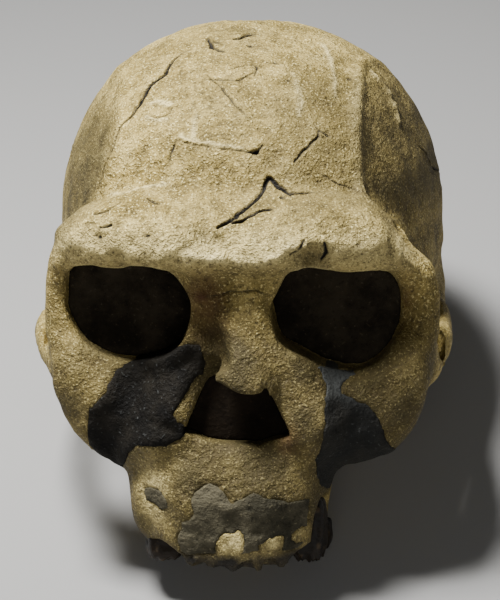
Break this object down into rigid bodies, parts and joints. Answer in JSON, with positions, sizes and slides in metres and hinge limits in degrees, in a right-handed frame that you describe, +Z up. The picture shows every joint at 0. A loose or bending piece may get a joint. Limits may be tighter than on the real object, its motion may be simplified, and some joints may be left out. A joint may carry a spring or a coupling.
{
  "type": "fossil hominin skull",
  "caption": "Fossil cranium of an early human without its lower jaw: heavy brow bar, high rounded vault, filled eye sockets and nose, mended cheeks, worn back teeth.",
  "frame": {"origin": "middle of the skull's outline seen from above, at the height of the surface on which it rests", "axes": "+X towards the skull's own left side (the viewer's right when it is seen from the front), +Y from the face to the back of the head, +Z up as it rests without its lower jaw"},
  "size_m": [0.1331, 0.2036, 0.1354],
  "materials": {
    "bone": "mineralised bone, rough and granular",
    "matrix": "dark hardened sediment, matt",
    "filler": "grey mending plaster, matt",
    "enamel": "mineralised enamel, satin"
  },
  "bodies": {
    "root": {"cranium": "bone", "orbit_matrix_right": "matrix", "orbit_matrix_left": "matrix", "nose_matrix": "matrix", "cheek_filler_right": "filler", "cheek_filler_left": "filler", "tooth_row_filler": "filler", "socket_filler": "filler", "molar_right_first": "enamel", "molar_right_second": "enamel", "molar_left_first": "enamel", "molar_left_second": "enamel"}
  },
  "joints": []
}
